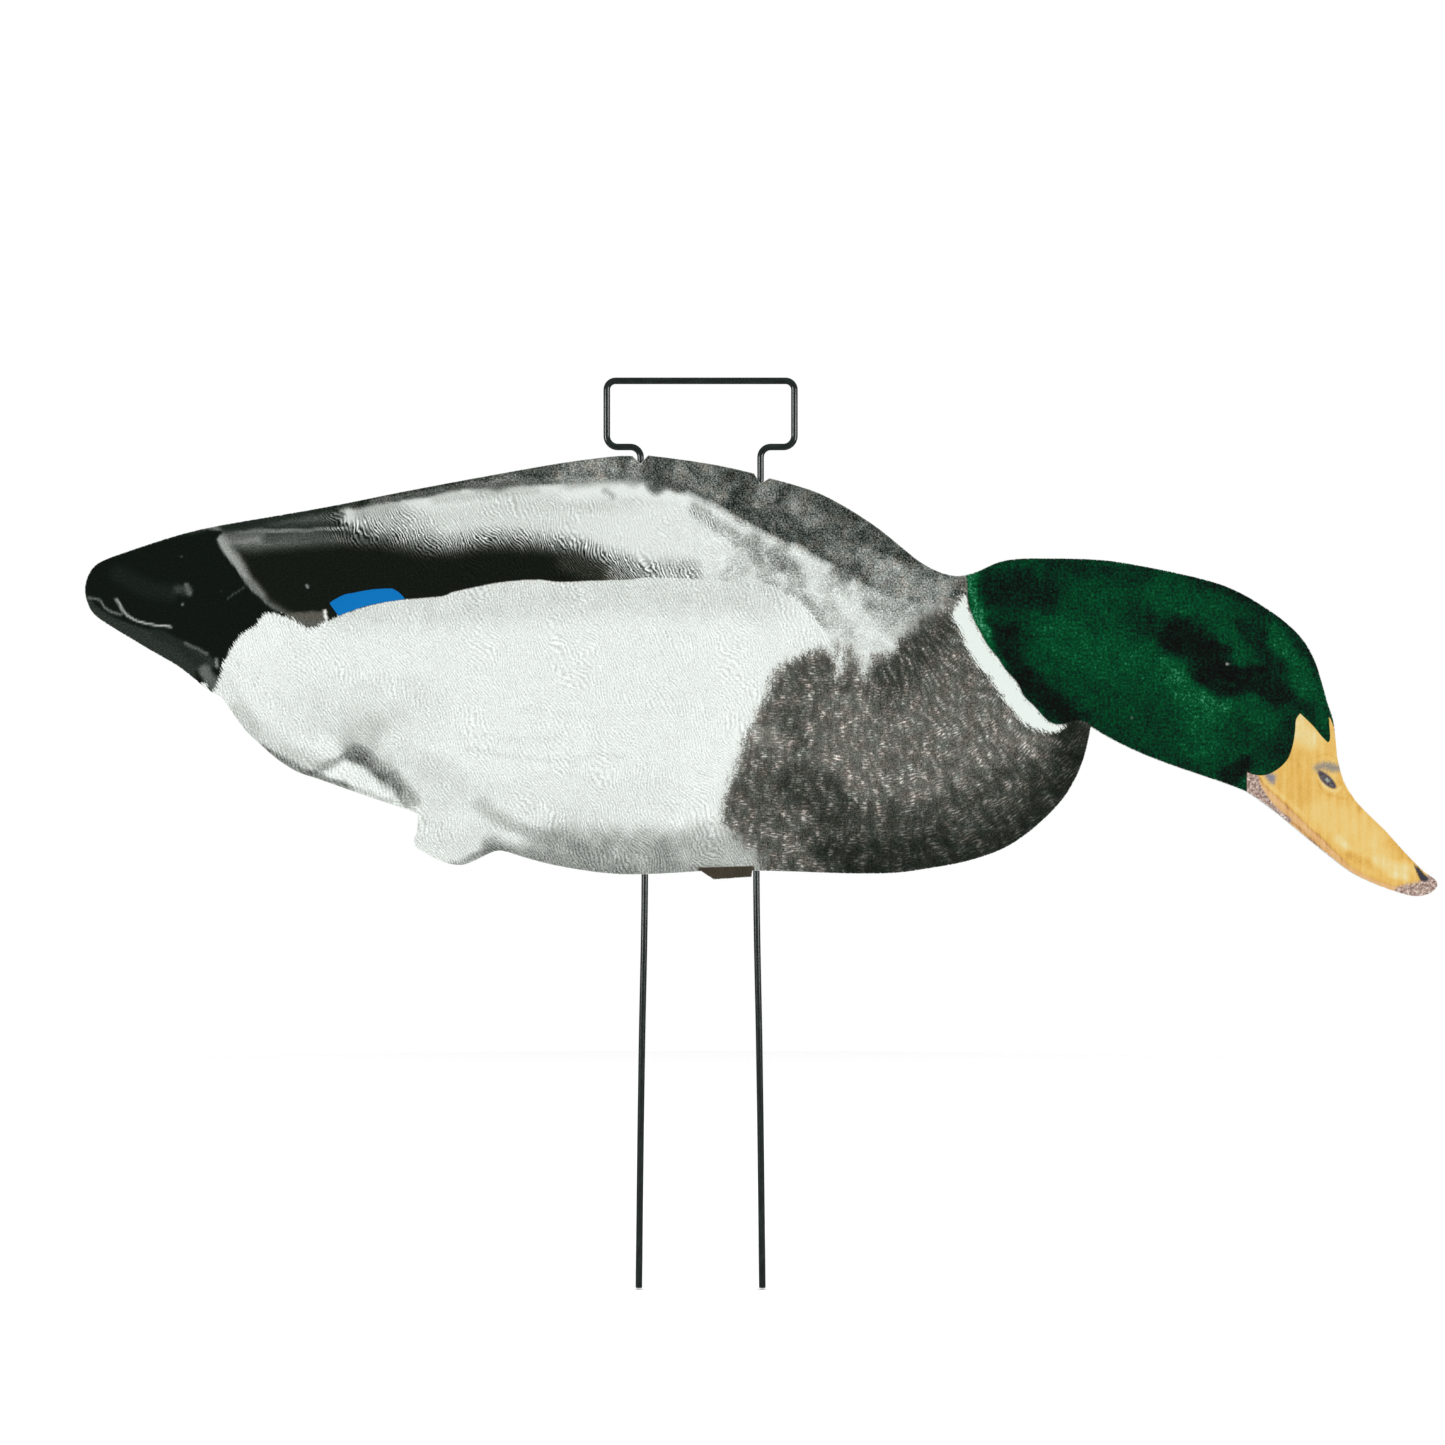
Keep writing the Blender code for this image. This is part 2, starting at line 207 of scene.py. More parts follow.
# Each soft stroke: its points, half its width, the width of its soft edge, its tone from 0 black to 1 paper
# white, and how strongly it covers. An outline has no width (None), and is filled.
backStrokes = [
    # scapulars: soft grey bands that follow the back, then the near-black wing with its rippled upper edge
    ([(-147, 352), (-140, 345), (-128, 338)], 6, 9, 0.62, 0.85),
    ([(-120, 356), (-98, 358), (-75, 360)], 0.5, 3, 0.72, 0.7),
    ([(-128, 347), (-100, 350), (-66, 354), (-30, 354)], 1.5, 5, 0.79, 0.7),
    ([(-120, 341), (-90, 344), (-60, 346)], 1, 5, 0.8, 0.6),
    ([(-60, 358), (-30, 360), (-8, 357), (6, 350)], 1, 4, 0.93, 0.7),
    ([(-30, 345), (0, 340), (14, 334)], 5, 10, 0.9, 0.6),
    (wingPanel, None, 8, 0.1, 1),
    ([(-60, 328), (-48, 324), (-40, 321)], 2, 6, 0.22, 0.8),
    ([(-36, 323), (-24, 322), (-6, 322)], 2, 8, 0.56, 0.75),
    # the dark strip over the wing, and the thin pale shaft along it
    ([(-228, 339), (-218, 346), (-200, 350), (-180, 354.5), (-157, 360), (-160, 356.5), (-163.5, 352),
      (-163, 347.5), (-158, 343.5), (-147, 340.5), (-160, 340), (-180, 341), (-205, 339)], None, 2, 0.19, 1),
    ([(-194, 347), (-178, 348), (-163, 349)], 0.8, 3, 0.32, 0.9),
    ([(-196, 339), (-176, 340), (-160, 341), (-150, 339)], 0.8, 3, 0.22, 0.8),
    ([(-214.7, 341.7), (-194, 342), (-170, 342.8), (-160, 342.8), (-146, 339.8)], 0.2, 1, 0.52, 0.95),
    ([(-218, 340.5), (-208, 340.5), (-198, 341)], 0.8, 2.2, 0.42, 0.8),
    # mantle: mottled, darkest along the back, with pale patches
    (mantle, None, 1.6, 0.295, 1),
    ([(-222, 345), (-190, 352), (-160, 357.5), (-130, 363), (-100, 368)], 4.2, 3, 0.14, 1),
    ([(-140, 358), (-110, 362)], 1, 3, 0.2, 0.7),
    ([(-100, 366), (-80, 368), (-62, 371)], 3, 5, 0.3, 0.9),
    ([(-92, 364), (-84, 367)], 2, 4, 0.36, 0.7),
    ([(-58, 368), (-42, 370)], 3.5, 6, 0.56, 0.8),
    ([(-29, 372), (-30, 366)], 2, 4, 0.56, 0.8),
    ([(-20, 371), (-20, 364)], 3, 4, 0.3, 0.9),
    ([(-8, 368), (2, 364), (8, 360)], 3, 6, 0.48, 0.8),
    ([(18, 366), (24, 358)], 5, 6, 0.27, 0.85),
    ([(30, 363), (28, 356)], 3, 4, 0.52, 0.8),
    ([(40, 363), (52, 356), (64, 346)], 4, 6, 0.31, 0.8),
    ([(44, 352), (49, 348)], 3, 5, 0.52, 0.8),
    ([(34, 350), (42, 342)], 3, 5, 0.36, 0.7),
    ([(60, 336), (66, 332)], 3, 5, 0.5, 0.8),
    ([(66, 348), (80, 337), (98, 322)], 3, 6, 0.3, 0.9),
    ([(60, 343), (76, 332)], 2, 4, 0.34, 0.6),
    ([(74, 331), (88, 324)], 2, 5, 0.56, 0.8),
    ([(82, 322), (98, 316), (108, 315)], 3, 8, 0.6, 0.9),
    ([(104, 326), (114, 321), (117, 325)], 2, 4, 0.46, 0.9),
    # pale edge where the scapulars overlap the mantle
    (scapularEdge, 0.5, 1.6, 0.78, 0.75),
    ([(-148, 355.5), (-120, 360.5), (-90, 364.5), (-50, 365.5), (-22, 363.5)], 0.4, 1.2, 0.62, 0.4),
    # shoulder: pale, with darker streaks
    ([(-43, 360), (-40, 358)], 0.4, 2.2, 0.62, 0.8),
    ([(-2, 352), (10, 343), (20, 336)], 1.2, 4, 0.62, 0.8),
    ([(12, 320), (16, 324), (20, 330)], 1.5, 6, 0.68, 0.7),
    ([(24, 336), (28, 330)], 2.5, 4, 0.52, 0.8),
    ([(36, 333), (35, 326)], 2, 4, 0.5, 0.8),
    ([(40, 326), (44, 320)], 2.2, 4, 0.5, 0.8),
    ([(28, 322), (33, 318)], 1.2, 4, 0.62, 0.7),
    ([(40, 314), (48, 309), (55, 301)], 1.2, 4, 0.58, 0.85),
    ([(62, 321), (68, 317)], 2.5, 4, 0.47, 0.9),
    ([(58, 316), (60, 306), (66, 296)], 3, 6, 0.74, 0.8),
    ([(68, 312), (74, 302), (80, 292)], 4, 6, 0.86, 0.9),
    ([(80, 312), (92, 307), (100, 306)], 5, 6, 0.56, 0.9),
    ([(84, 302), (92, 297)], 3, 5, 0.68, 0.7),
    # tail: pale rim of the folded wing, then the black feathers up to it
    (tertialRim[:6], 1.1, 4.8, 0.64, 0.95),
    (tertialRim[4:], 0.6, 3, 0.4, 0.9),
    (tail, None, 0.5, 0.075, 1),
    ([(-262, 322), (-250, 316), (-240, 314)], 1.5, 5, 0.125, 1),
    (underTail, None, 0.8, 0.19, 1),
    ([(-226, 283), (-236, 291), (-246, 296)], 0.8, 3, 0.14, 0.8),
    ([(-264, 310.5), (-262, 307.5), (-259.5, 305), (-256, 302.5), (-251.5, 300.5), (-245.5, 299),
      (-239, 298.5)],
     0.1, 0.9, 0.8, 1),
    ([(-276, 312), (-272.5, 311), (-270, 309.5), (-268.5, 307), (-265.5, 305.5), (-261.5, 304.5)],
     0.1, 0.9, 0.5, 0.9),
    ([(-232, 317), (-230.4, 314)], 0.2, 1.8, 0.62, 0.8),
    ([(-236, 315.5), (-231, 315)], 0.4, 3, 0.3, 0.7),
    ([(-213.5, 311.5), (-206.5, 316.5)], 0.1, 0.6, 0.42, 0.7),
    ([(-232.5, 291), (-228, 289), (-223, 286.5)], 0.3, 0.9, 0.45, 0.8),
    ([(-218.5, 284), (-218, 281)], 0.4, 1, 0.6, 0.8),
    ([(-224, 279), (-221, 275), (-219, 271)], 1.4, 2.5, 0.45, 0.9),
    ([(-235, 341), (-224, 342.5)], 0.3, 1.5, 0.25, 0.7),
    # brown secondaries under the wing, and the white bar beside the speculum
    ([(-186, 303.5), (-181, 305), (-170.5, 305.5), (-170, 302), (-173, 298.5), (-177, 297.5), (-182, 300.5)],
     None, 0.7, 0.36, 1),
    ([(-169.6, 305.6), (-169, 303.4), (-168.6, 301)], 0.55, 0.6, 0.97, 1),
]
flankStrokes = [
    ([(-160, 308), (-110, 310), (-40, 314), (30, 312)], 3, 14, 0.81, 0.9),
    ([(-126, 206), (-112, 199), (-98, 202)], 5, 9, 0.84, 0.9),
    ([(-205, 290), (-195, 296)], 2, 8, 0.94, 0.8),
    ([(-215, 275), (-208, 262), (-206, 256)], 1.5, 5, 0.85, 0.7),
    ([(-172, 258), (-158, 256), (-140, 258)], 2, 8, 0.8, 0.85),
    ([(-180, 262), (-150, 264), (-128, 262)], 5, 16, 0.85, 0.7),
    ([(-156, 248), (-148, 252)], 3, 8, 0.74, 0.8),
    ([(-209, 259), (-200, 250), (-192, 243), (-178, 236)], 1.5, 8, 0.72, 0.85),
    ([(-180, 240), (-172, 238)], 1.5, 5, 0.78, 0.7),
    ([(-171.5, 235), (-165, 238.5), (-155, 241.2)], 0.5, 3.5, 0.56, 0.9),
    ([(-155.3, 242), (-147.6, 235.8), (-140, 229.4), (-131.4, 221)], 2.7, 3.8, 0.24, 1),
    ([(-158, 246), (-150, 243), (-142, 238)], 1, 6, 0.66, 0.7),
    ([(-168.5, 231.5), (-164, 234), (-157.5, 235), (-151, 231.5), (-145, 226), (-139.5, 220.5)],
     1.2, 3, 0.93, 0.85),
    ([(-198, 244.5), (-191.5, 239.5), (-181, 234.5), (-170, 230), (-158.5, 226)], 0.5, 2.0, 0.36, 0.9),
    ([(-158.5, 226), (-150.5, 223.5), (-140, 219)], 0.3, 2.0, 0.66, 0.8),
    ([(-136, 240), (-126, 228), (-118, 224)], 3, 12, 0.83, 0.8),
    ([(-132, 214), (-124, 208)], 3, 8, 0.86, 0.8),
    ([(-122, 236), (-110, 228), (-100, 220)], 1, 9, 0.8, 0.7),
    ([(-99.5, 218.5), (-88, 210.5), (-75.3, 205.5), (-62, 201), (-46, 197)], 0.7, 4.5, 0.56, 0.9),
    ([(-60, 212), (-40, 206), (-18, 204)], 1.5, 9, 0.8, 0.8),
    ([(-112.5, 191.5), (-107, 192), (-101.5, 194.5), (-95, 197.5), (-90.5, 198.5)], 0.5, 2.6, 0.5, 0.9),
    ([(-94, 198.5), (-84, 195.5), (-72.5, 192), (-54.5, 188.5), (-36.5, 186.5), (-18.5, 186), (-0.5, 187),
      (29, 187)],
     1.5, 6.5, 0.43, 0.95),
    ([(-70, 199), (-40, 196), (-10, 196), (24, 198)], 3, 13, 0.54, 1),
    ([(0, 200), (18, 196)], 3, 12, 0.74, 0.7),
    ([(-105, 243), (-88, 241), (-70, 238), (-52, 240), (-35, 240)], 0.2, 1.6, 0.8, 0.45),
    ([(-98, 250), (-80, 247), (-64, 249)], 0.2, 1.6, 0.82, 0.4),
    ([(-76, 230), (-58, 232), (-40, 228)], 0.2, 1.8, 0.82, 0.4),
    ([(-80, 262), (-50, 258), (-10, 262)], 0.2, 2, 0.85, 0.4),
    ([(-110, 222), (-60, 218), (-20, 222)], 3, 14, 0.86, 0.7),
    ([(10, 290), (22, 270), (6, 240)], 6, 16, 0.93, 0.7),
]
breastStrokes = [
    ([(34, 274), (50, 280)], 4, 8, 0.36, 0.8),
    ([(58, 276), (62, 266)], 2, 6, 0.34, 0.7),
    ([(88, 280), (94, 286), (104, 296)], 6, 11, 0.29, 0.9),
    ([(88, 262), (92, 270)], 5, 8, 0.3, 0.8),
    ([(100, 262), (128, 258), (146, 246)], 5, 14, 0.47, 0.85),
    ([(116, 290), (124, 276)], 3, 7, 0.42, 0.7),
    ([(76, 250), (100, 246), (120, 236)], 8, 14, 0.48, 0.85),
    ([(44, 240), (60, 244), (70, 236)], 6, 12, 0.5, 0.7),
    ([(30, 236), (28, 228)], 3, 8, 0.36, 0.7),
    ([(20, 222), (44, 214), (58, 206)], 5, 10, 0.37, 0.8),
    ([(60, 204), (90, 208), (120, 214), (146, 226), (160, 242)], 4, 15, 0.29, 0.95),
    ([(60, 194), (90, 195), (120, 199), (146, 210), (160, 228)], 4, 9, 0.2, 0.95),
    ([(60, 187), (100, 188), (130, 195), (150, 206), (166, 226)], 2, 7, 0.17, 0.9),
    ([(164, 256), (172, 250), (170, 236)], 4, 11, 0.15, 0.95),
    ([(24, 192), (40, 190), (60, 190)], 1, 5, 0.32, 0.7),
    ([(108, 316), (116, 318), (118, 324)], 3, 5, 0.5, 0.9),
    ([(28, 250), (33, 247)], 2, 5, 0.6, 0.8),
    ([(40, 258), (44, 246)], 2, 6, 0.32, 0.7),
    ([(60, 264), (72, 262)], 2, 6, 0.53, 0.8),
    ([(44, 227), (60, 220)], 6, 9, 0.25, 0.8),
    ([(70, 227), (90, 225), (106, 225)], 1.5, 5, 0.5, 0.75),
    ([(140, 250), (152, 247)], 2, 6, 0.52, 0.7),
]
headStrokes = [
    ([(150, 300), (180, 296), (200, 286)], 10, 22, 0.54, 0.8),
    ([(124, 324), (124, 310), (129, 297), (138, 283)], 2, 5, 0.78, 1),
    ([(134, 317), (144, 315), (156, 314)], 4, 8, 0.2, 0.9),
    ([(136, 296), (142, 284), (149, 272), (157, 263), (168, 257)], 2.2, 7, 0.16, 0.95),
    ([(140, 306), (146, 296)], 2, 8, 0.34, 0.7),
    ([(158, 326), (180, 325), (200, 320)], 1.5, 6, 0.34, 0.8),
    ([(168, 304), (184, 298)], 2, 9, 0.46, 0.6),
    ([(160, 296), (176, 288), (196, 284)], 4, 10, 0.62, 0.7),
    ([(216, 278), (224, 270), (232, 264)], 4, 10, 0.72, 0.85),
    ([(224, 254), (228, 244)], 3, 8, 0.64, 0.8),
    ([(206, 312), (222, 308), (236, 302)], 4, 8, 0.56, 0.8),
    ([(196, 302), (206, 298), (214, 293)], 2, 8, 0.3, 0.8),
    ([(216, 294), (224, 288), (230, 281), (238, 275)], 5, 8, 0.12, 0.9),
    ([(238, 275), (250, 272), (264, 269)], 2, 7, 0.15, 0.9),
    ([(246, 298), (254, 291), (259, 282), (260, 275)], 2, 6, 0.22, 0.7),
    ([(237, 298), (242, 291), (247, 286)], 2, 4, 0.55, 0.85),
    ([(228, 290), (238, 289)], 0.8, 3, 0.14, 0.8),
    ([(236, 279), (246, 278), (252, 280)], 1.2, 4, 0.12, 0.8),
    ([(231, 275.5), (238, 273.8), (245, 275)], 0.3, 1.2, 0.42, 0.6),
    ([(222, 322), (240, 315), (256, 305), (270, 292), (277, 280)], 1.2, 4.5, 0.26, 0.9),
    ([(260, 294), (267, 284), (271, 274)], 3, 5, 0.64, 0.85),
    ([(248, 262), (256, 256)], 3, 6, 0.58, 0.8),
    ([(278, 270), (281, 258)], 1.5, 3.5, 0.58, 0.7),
    ([(266, 252), (264, 245), (258, 238)], 2.5, 7, 0.3, 0.9),
    ([(270, 264), (276, 258)], 1, 4, 0.28, 0.8),
    ([(240, 232), (246, 236)], 2, 5, 0.12, 0.95),
    ([(184, 250), (205, 241), (225, 234)], 1, 5, 0.38, 0.7),
    ([(182, 262), (200, 256)], 3, 10, 0.46, 0.6),
]
mandibleLine = [(252, 231.2), (255, 226.8), (260.4, 221.8), (265.4, 217), (270.8, 212.2), (275.6, 207.4),
                (280.4, 203.2), (285.4, 198.2), (290.8, 192.6), (296.8, 188.4), (305.8, 184), (315, 181.2)]
billStrokes = [
    ([(252, 236), (258, 240), (264, 250), (268, 254)], 2, 6, 0.8, 0.7),
    ([(268, 262), (270, 252), (276, 248)], 2, 5, 0.88, 0.8),
    ([(266, 237), (270, 230), (270, 216)], 2, 7, 0.55, 0.8),
    ([(262, 224), (266, 220)], 2, 5, 0.6, 0.7),
    ([(284, 240), (282, 244)], 2, 6, 0.66, 0.6),
    ([(280, 215), (292, 208), (304, 198)], 3, 7, 0.76, 0.7),
    ([(292, 228), (302, 214), (314, 201), (321, 194)], 1, 3, 0.53, 0.85),
    ([(300, 214), (308, 204)], 0.8, 3, 0.74, 0.6),
    ([(288, 203), (292, 199)], 0.6, 2.5, 0.92, 0.8),
    ([(292, 196), (300, 192.5), (310, 189.5)], 0.6, 2.6, 0.48, 0.6),
    ([(306, 193), (312, 190), (318, 189)], 1, 4, 0.88, 0.8),
    ([(312, 187), (319, 185.4)], 0.4, 2, 0.96, 0.6),
    (mandibleLine[:9], 0.1, 0.7, 0.36, 0.75),
    (mandibleLine[8:], 0.1, 1.2, 0.52, 0.7),
    ([(256, 228), (260, 224), (266, 219), (272, 214)], 0.2, 1.6, 0.82, 0.5),
    ([(258, 219), (270, 209), (284, 196), (296, 186), (312, 179)], 0.5, 1.6, 0.56, 0.8),
    ([(262, 213.6), (270, 208), (284, 194), (292, 187)], 0.1, 0.9, 0.28, 0.8),
    # pale folds round the nostril
    ([(278.5, 240), (283, 241.5), (287, 239)], 0.1, 0.9, 0.5, 0.6),
    ([(279, 231), (282, 226.6), (286.5, 224.2), (289, 226)], 0.1, 0.8, 0.86, 0.9),
    ([(278, 229), (281, 224.6), (286, 222), (292, 221)], 0.1, 0.7, 0.46, 0.5),
    ([(290.4, 231), (291, 228), (293, 224)], 0.1, 0.9, 0.84, 0.7),
]
# Small pale flecks of bare sheet, and the glint in the eye: x, z and half the width of each.
flecks = [(237.9, 281.9, 0.5), (195, 257.5, 0.3), (-234.5, 330, 0.3), (-233.5, 309, 0.4), (-177.5, 317, 0.5),
          (-216, 314.5, 0.3), (-218.5, 294.5, 0.3), (282.9, 229.5, 0.6)]

# The tone of each part starts from one value and is shaded by its strokes.
toneParts = {  # its strokes, mm that their edges waver, the tone before any stroke, how patchy they are
    "back": (backStrokes, 0.45, 0.87, 0.25),
    "flank": (flankStrokes, 0.9, 0.91, 0.45),
    "breast": (breastStrokes, 2.2, 0.43, 0.3),
    "head": (headStrokes, 2.2, 0.46, 0.35),
    "bill": (billStrokes, 0.2, 0.62, 0.2),
}
breastCurve = {"centre": (72, 329), "radius": 110}  # mm, the curve that the breast's ripples follow


def lumps(places, size, seed):
    # smooth random values from -1 to 1: one for each corner of a square lattice, eased from corner to corner
    cell = (places - places.min(0)) / size
    corner = cell.astype(int)
    (i, k), (u, v) = corner.T, ease(cell - corner).T
    heights = np.random.default_rng(seed).uniform(-1, 1, corner.max(0) + 2)
    near = heights[i, k] * (1 - u) + heights[i + 1, k] * u
    far = heights[i, k + 1] * (1 - u) + heights[i + 1, k + 1] * u
    return near * (1 - v) + far * v


def waver(places, amount):
    # pushes each place a little aside, in lumps of 7 and 3 mm, so that no painted edge runs clean
    push = [amount * (lumps(places, 7, seed) + 0.6 * lumps(places, 3, seed + 1)) for seed in (11, 21)]
    return places + np.stack(push, 1)


def shade(places, base, strokes, patchy):
    # starts with one tone and lays each stroke over it: full inside, easing off over its soft edge, and
    # weaker in patches of 5 mm
    tone = np.full(len(places), float(base))
    hold = 1 - patchy * (0.5 + 0.5 * lumps(places, 5, 31))
    for points, halfWidth, soft, value, strength in strokes:
        if halfWidth is None:
            outline = smoothLine(points, closed=True, steps=3)
            cover = ease(0.5 + insideDistance(places, outline, soft + 1) / (2 * soft))
        else:
            line = smoothLine(points, steps=4) if len(points) > 2 else np.array(points, float)
            cover = ease(1 - (lineDistance(places, line, halfWidth + soft) - halfWidth) / soft) * hold
        tone += (value - tone) * cover * strength
    return tone


def artworkFields(places):
    # everything that the print's inks are placed by, worked out at each point of the sheet's face: how far it
    # lies inside each outline, the tone of each part, the run and depth of the breast's ripples, the flecks
    fields = {name + "Edge": insideDistance(places, smoothLine(points, closed=True, steps=4))
              for name, points in patches.items()}
    for name, outline in (("mantle", mantle), ("barred", barredPart), ("wing", wingPanel)):
        fields[name + "Edge"] = insideDistance(places, smoothLine(outline, closed=True, steps=3))
    for name, (strokes, wander, base, patchy) in toneParts.items():
        fields[name + "Tone"] = shade(waver(places, wander), base, strokes, patchy)
    underBill = [(345, 181), (330, 160), (240, 190), (244, 233)]  # closes the lower bill's side of its line
    fields["mandibleEdge"] = insideDistance(places, np.vstack([smoothLine(mandibleLine, steps=3), underBill]))
    # the breast's ripples run level on its rear side, and from its middle round the curve of its front
    forward, down = (places - breastCurve["centre"]).T * np.array([[1], [-1]])
    turn, reach = np.arctan2(forward, down), np.hypot(forward, down)
    fields["rippleRun"] = np.where(forward < 0, forward, turn * breastCurve["radius"])
    fields["rippleDepth"] = np.where(forward < 0, down, reach)
    fields["fleck"] = np.zeros(len(places))
    for x, z, size in flecks:  # full in the middle, gone at 1.75 sizes, and fainter where the fleck is small
        spot = ease(1.4 - 0.8 * np.hypot(places[:, 0] - x, places[:, 1] - z) / size) * min(1, size + 0.1)
        fields["fleck"] = np.maximum(fields["fleck"], spot)
    return fields


# ---- meshes


def newPiece(name, corners, faces, smooth=True):
    mesh = bpy.data.meshes.new(name)
    mesh.from_pydata(corners, [], faces)
    mesh.polygons.foreach_set("use_smooth", np.full(len(mesh.polygons), smooth))
    mesh.update()
    piece = bpy.data.objects.new(name, mesh)
    bpy.context.scene.collection.objects.link(piece)
    return piece


def rimLoop(triangles):
    # the corners round a flat patch of triangles, in order: the sides that no other triangle has, end to end
    sides = np.vstack([triangles[:, [0, 1]], triangles[:, [1, 2]], triangles[:, [2, 0]]])
    twins = set(map(tuple, sides[:, ::-1].tolist()))
    following = {a: b for a, b in sides.tolist() if (a, b) not in twins}
    loop = [next(iter(following))]
    while following[loop[-1]] != loop[0]:
        loop.append(following[loop[-1]])
    return np.array(loop)


def faceOutline(node, faceY):
    # the outline of a CAD node's flat face, in mm
    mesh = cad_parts[node].data
    corners = np.empty(len(mesh.vertices) * 3)
    mesh.vertices.foreach_get("co", corners)
    corners = np.round(corners.reshape(-1, 3) / mm, 3)
    triangles = np.empty(len(mesh.polygons) * 3, int)
    mesh.polygons.foreach_get("vertices", triangles)
    triangles = triangles.reshape(-1, 3)
    onFace = np.all(np.abs(corners[triangles][:, :, 1] - faceY) < 0.01, axis=1)  # mm
    flat, index = np.unique(corners[:, [0, 2]], axis=0, return_inverse=True)
    return flat[rimLoop(index.reshape(-1)[triangles[onFace]])]


printFilm = {
    "gridStep": 1.0,        # mm between points of the face's grid
    "gridGap": 0.45,        # of a step, kept clear between the grid and the outline
    "edgeStep": 0.8,        # mm between points of its outline
    "thickness": 0.04,      # mm of ink and primer, standing on the sheet's face
    "lift": 0.002,          # mm of air under it, so that no two faces lie in one plane
    "inset": 0.06,          # mm of bare sheet along the cut
    "cutWander": 0.04,      # mm that the print's edge wanders along the cut
    "cutWaves": [(2.9, 0), (1.7, 1), (0.61, 2)],  # radians per mm and phase of the sines it wanders by
    "rimReach": 3.0,        # mm from the print's edge in which its distance is measured
}


def filmOutline(outline):
    # the cut's outline with more points along it, drawn in by the inset and by the mean of a few sines
    ahead = np.roll(outline, -1, 0) - outline
    counts = np.maximum(1, np.ceil(np.hypot(*ahead.T) / printFilm["edgeStep"])).astype(int)
    place = np.arange(counts.sum()) - np.repeat(np.cumsum(counts) - counts, counts)
    line = np.repeat(outline, counts, 0) + np.repeat(ahead / counts[:, None], counts, 0) * place[:, None]
    around = np.roll(line, -1, 0) - np.roll(line, 1, 0)
    inward = np.stack([-around[:, 1], around[:, 0]], 1) / np.hypot(*around.T)[:, None]
    area = 0.5 * np.sum(line[:, 0] * np.roll(line[:, 1], -1) - np.roll(line[:, 0], -1) * line[:, 1])
    inward *= math.copysign(1, area)
    run = np.cumsum(np.hypot(*(np.roll(line, -1, 0) - line).T))
    wander = np.mean([np.sin(run * rate + phase) for rate, phase in printFilm["cutWaves"]], 0)
    return line + inward * (printFilm["inset"] + printFilm["cutWander"] * wander[:, None])


def filmFace(outline):
    # points on a grid of equilateral triangles inside the outline, joined to it by Delaunay triangles
    step = printFilm["gridStep"]
    low, high = outline.min(0), outline.max(0)
    rows = np.arange(low[1], high[1], step * math.sqrt(3) / 2)
    x, z = np.meshgrid(np.arange(low[0], high[0], step), rows)
    x = x + (np.arange(len(rows)) % 2)[:, None] * step / 2
    grid = np.stack([x.ravel(), z.ravel()], 1)
    grid = grid[insideDistance(grid, outline, step) > printFilm["gridGap"] * step]
    points = [Vector(p) for p in np.vstack([outline, grid]).tolist()]
    insideOnly, nearest = 1, 1e-6
    found, _, faces, *_ = delaunay_2d_cdt(points, [], [list(range(len(outline)))], insideOnly, nearest)
    return np.array([tuple(p) for p in found]), np.array(faces)


print("print films: laying out the grid")
filmEdge = filmOutline(faceOutline("fluted_panel", sheetLow.y))
facePlaces, faceTriangles = filmFace(filmEdge)
print("print films:", len(facePlaces), "points,", len(faceTriangles), "triangles")
fields = artworkFields(facePlaces)
fields["rimEdge"] = insideDistance(facePlaces, filmEdge, printFilm["rimReach"])
print("print films: artwork fields done")


def buildFilm(name, side):
    # the gridded face, and behind it a plain back that shares its outline through a narrow wall;
    # side is -1 for the near face of the sheet and 1 for the far one
    sheetFace = sheetLow.y if side < 0 else sheetHigh.y
    outer = sheetFace + side * (printFilm["lift"] + printFilm["thickness"])
    inner = sheetFace + side * printFilm["lift"]
    loop, count = rimLoop(faceTriangles), len(facePlaces)
    front = np.insert(facePlaces, 1, outer, 1)
    back = np.insert(facePlaces[loop], 1, inner, 1)
    behind = count + np.arange(len(loop))
    walls = np.stack([np.roll(loop, -1), loop, behind, np.roll(behind, -1)], 1)
    faces = [*faceTriangles.tolist(), *walls.tolist(), behind[::-1].tolist()]
    if side > 0:
        faces = [face[::-1] for face in faces]
    piece = newPiece(name, np.vstack([front, back]) * mm, faces, smooth=False)
    for field, values in fields.items():
        attribute = piece.data.attributes.new(field, "FLOAT", "POINT")
        attribute.data.foreach_set("value", np.append(values, values[loop]).astype(np.float32))
    return piece


nearPrint = buildFilm("near_print", -1)
farPrint = buildFilm("far_print", 1)

wireRadius = (wireHigh.y - wireLow.y) / 2
stake = {
    # mm up a leg, and how far out it is there: the sheet pinches the legs, and they spread below it
    "legBow": [(0, 27.9), (62, 27.2), (110, 26.5), (187, 25.2), (280, 25.8), (366, 27.1)],
    "shoulder": 380.0,      # mm up the middle of the wire
    "topRadius": 4.0,       # mm, to the middle of the wire in each bend
    "outerRadius": 5.0,
    "innerRadius": 4.6,
    "tipChamfer": 0.3,
    "sides": 32,
}


def roundedTurn(before, corner, after, radius, steps=10):
    # an arc of this radius that touches both straight runs of a corner
    into, out = (v / np.hypot(*v) for v in (corner - before, after - corner))
    half = math.acos(np.clip(into @ out, -1, 1)) / 2
    centre = corner + (out - into) / np.hypot(*(out - into)) * radius / math.cos(half)
    start = corner - into * radius * math.tan(half) - centre
    turn = math.copysign(2 * half, into[0] * out[1] - into[1] * out[0])
    angle = np.linspace(0, turn, steps + 1)[:, None]
    return centre + start * np.cos(angle) + np.array([-start[1], start[0]]) * np.sin(angle)


